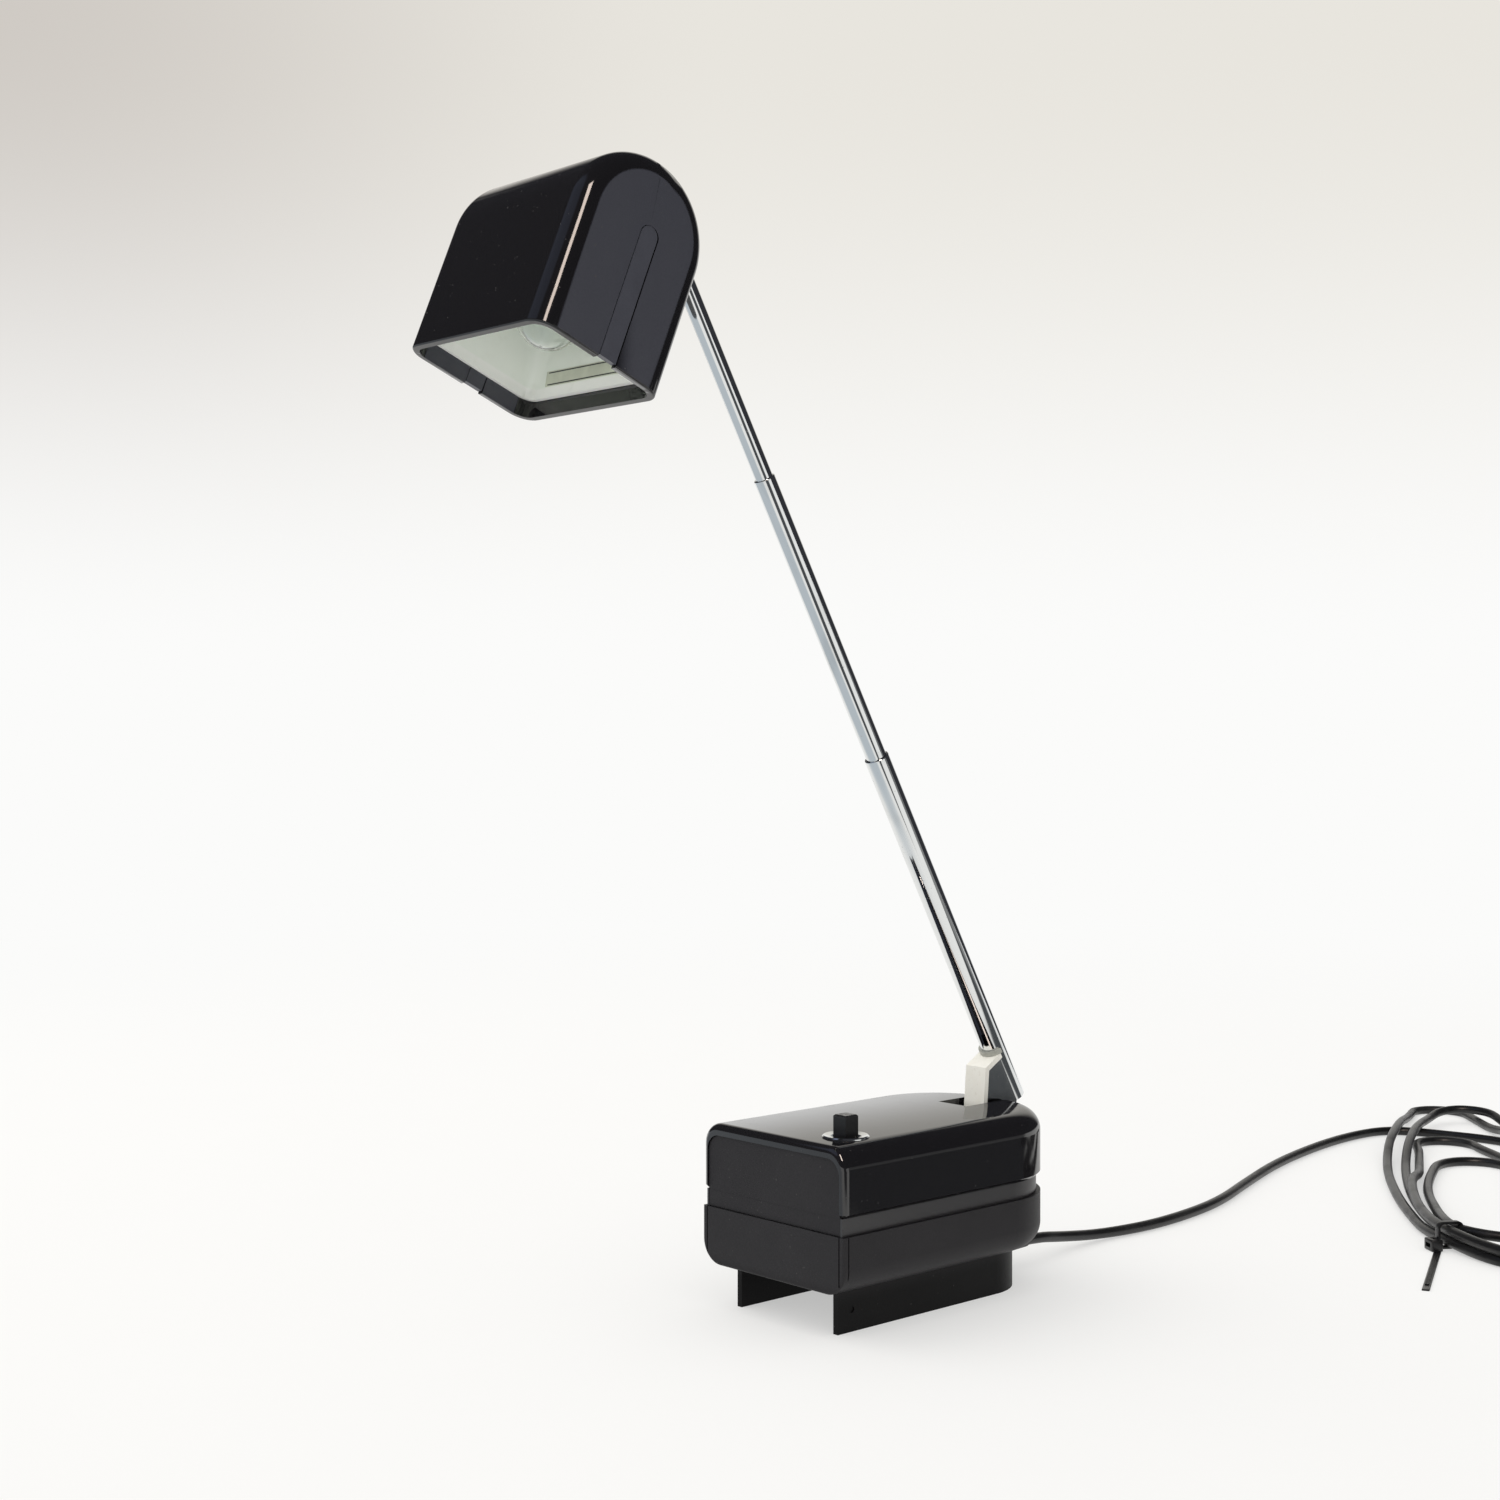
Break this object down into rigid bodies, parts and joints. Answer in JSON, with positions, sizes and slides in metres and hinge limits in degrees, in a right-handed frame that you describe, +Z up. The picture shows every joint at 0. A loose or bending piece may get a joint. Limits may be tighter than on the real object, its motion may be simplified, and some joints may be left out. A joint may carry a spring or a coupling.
{
  "type": "desk lamp",
  "caption": "Low-voltage desk lamp: a weighted transformer base with a push switch, a telescopic folding chrome arm, a tilting rectangular head and a bundled mains cord.",
  "frame": {"origin": "on the surface the lamp stands on, under the middle of the base's plan", "axes": "+Z up; +Y towards the rear of the base, where the arm's hinge and the cord are; -Y the way the arm leans and the front with the switch; +X to the right when the hinge is at the back"},
  "size_m": [0.2608, 0.589, 0.3326],
  "materials": {
    "gloss_black": "moulded gloss black",
    "satin_charcoal": "fine-grained satin charcoal",
    "knob_black": "satin black",
    "switch_plastic": "moulded black",
    "ivory_plastic": "semi-gloss ivory",
    "chrome_tube": "bright chrome plate",
    "chrome_fitting": "pressed and chrome plated",
    "collar_grey": "plain turned",
    "steel_screw": "zinc plated",
    "core_steel": "varnished laminations",
    "rod_steel": "drawn",
    "copper_winding": "enamelled copper wire",
    "bobbin_plastic": "moulded nylon",
    "end_plug_plastic": "moulded insulating plastic",
    "reflector_white": "pale greenish white enamel",
    "socket_metal": "plain brass",
    "insulator": "brown laminate",
    "bulb_glass": "clear",
    "filament": "drawn tungsten",
    "cord_black": "smooth black sheath",
    "pin_metal": "nickel-plated brass"
  },
  "bodies": {
    "base": {"upper_cover": "gloss_black", "front_panel": "satin_charcoal", "lower_shell": "satin_charcoal", "base_screws": "steel_screw", "transformer_core": "core_steel", "transformer_bobbin": "bobbin_plastic", "primary_winding": "copper_winding", "secondary_winding": "copper_winding", "transformer_screws": "steel_screw", "switch_bezel": "chrome_fitting", "switch_housing": "switch_plastic", "hinge_yoke": "chrome_fitting", "yoke_screws": "steel_screw", "hinge_pin": "steel_screw", "cord_bushing": "cord_black", "mains_cord": "cord_black", "cord_coil": "cord_black", "cord_tie": "cord_black", "plug_body": "cord_black", "plug_pins": "pin_metal"},
    "button": {"push_button": "knob_black"},
    "lower_arm": {"lower_tube": "chrome_tube", "foot_bracket": "chrome_fitting", "foot_hood": "ivory_plastic", "foot_collar": "collar_grey", "lower_plug": "end_plug_plastic", "core_rod": "rod_steel"},
    "middle_arm": {"middle_tube": "chrome_tube", "middle_guide_ring": "collar_grey", "middle_plug": "end_plug_plastic", "core_middle_tube": "rod_steel"},
    "upper_arm": {"upper_tube": "chrome_tube", "upper_guide_ring": "collar_grey", "upper_plug": "end_plug_plastic", "core_upper_tube": "rod_steel", "top_bracket": "chrome_fitting"},
    "head": {"head_shell": "gloss_black", "side_tongues": "satin_charcoal", "head_pin": "steel_screw", "reflector": "reflector_white", "lamp_socket": "socket_metal", "socket_insulator": "insulator", "socket_contact": "pin_metal", "bulb_cap": "socket_metal", "bulb_glass": "bulb_glass", "bulb_filament": "filament"}
  },
  "joints": [
    {"name": "button_press", "type": "slide", "parent": "base", "child": "button", "axis": [0, 0, 1], "range_m": [-0.0025, 0], "stiffness_N_per_m": 400, "springref_m": 0.001},
    {"name": "arm_hinge", "type": "hinge", "parent": "base", "child": "lower_arm", "pos_m": [0, 0.0483, 0.051], "axis": [1, 0, 0], "range_deg": [-45, 60.3]},
    {"name": "middle_slide", "type": "slide", "parent": "lower_arm", "child": "middle_arm", "axis": [0, -0.4955, 0.8686], "range_m": [-0.0913, 0]},
    {"name": "upper_slide", "type": "slide", "parent": "middle_arm", "child": "upper_arm", "axis": [0, -0.4955, 0.8686], "range_m": [-0.0643, 0]},
    {"name": "head_tilt", "type": "hinge", "parent": "upper_arm", "child": "head", "pos_m": [0, -0.10911, 0.3189], "axis": [1, 0, 0], "range_deg": [-40, 50.5]}
  ]
}
